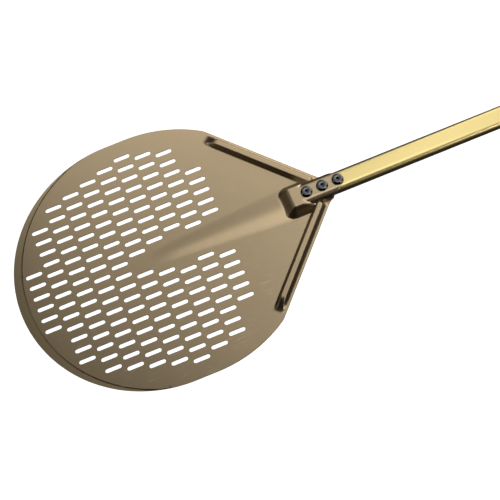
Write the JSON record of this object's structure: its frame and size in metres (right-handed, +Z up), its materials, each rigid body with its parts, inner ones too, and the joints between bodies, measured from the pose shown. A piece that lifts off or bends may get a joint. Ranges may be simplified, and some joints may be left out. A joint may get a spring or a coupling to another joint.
{
  "type": "pizza peel",
  "caption": "Round perforated peel with a thinned front edge, pressed ribs and a raised housing riveted to a long flat-oval handle with a sliding grip and an end grip.",
  "frame": {"origin": "centre of the round head, on its flat underside", "axes": "+X along the handle towards the hand, +Z up, away from the surface the head slides on, +Y to the left as seen by the user"},
  "size_m": [1.6, 0.33, 0.0294],
  "materials": {
    "head_sheet": "hard-anodised satin bronze sheet",
    "handle_gold": "satin pale-gold anodised tube, drawn along its length",
    "rivet_black": "glossy black coated",
    "mandrel_steel": "dark blackened steel",
    "grip_plastic": "fine-textured black moulded plastic",
    "liner_plastic": "smooth natural low-friction plastic",
    "plug_plastic": "plain black moulded plastic",
    "screw_steel": "plain stainless steel"
  },
  "bodies": {
    "peel": {"head": "head_sheet", "handle_tube": "handle_gold", "tube_nose_plug": "plug_plastic", "tube_end_bung": "plug_plastic", "rivets": "rivet_black", "rivet_mandrels": "mandrel_steel", "end_grip": "grip_plastic", "grip_screw": "screw_steel", "hanging_eyelet": "screw_steel"},
    "slider": {"sliding_grip": "grip_plastic", "slide_liners": "liner_plastic"}
  },
  "joints": [
    {"name": "grip_slide", "type": "slide", "parent": "peel", "child": "slider", "axis": [1, 0, 0], "range_m": [-0.54, 0.365]}
  ]
}
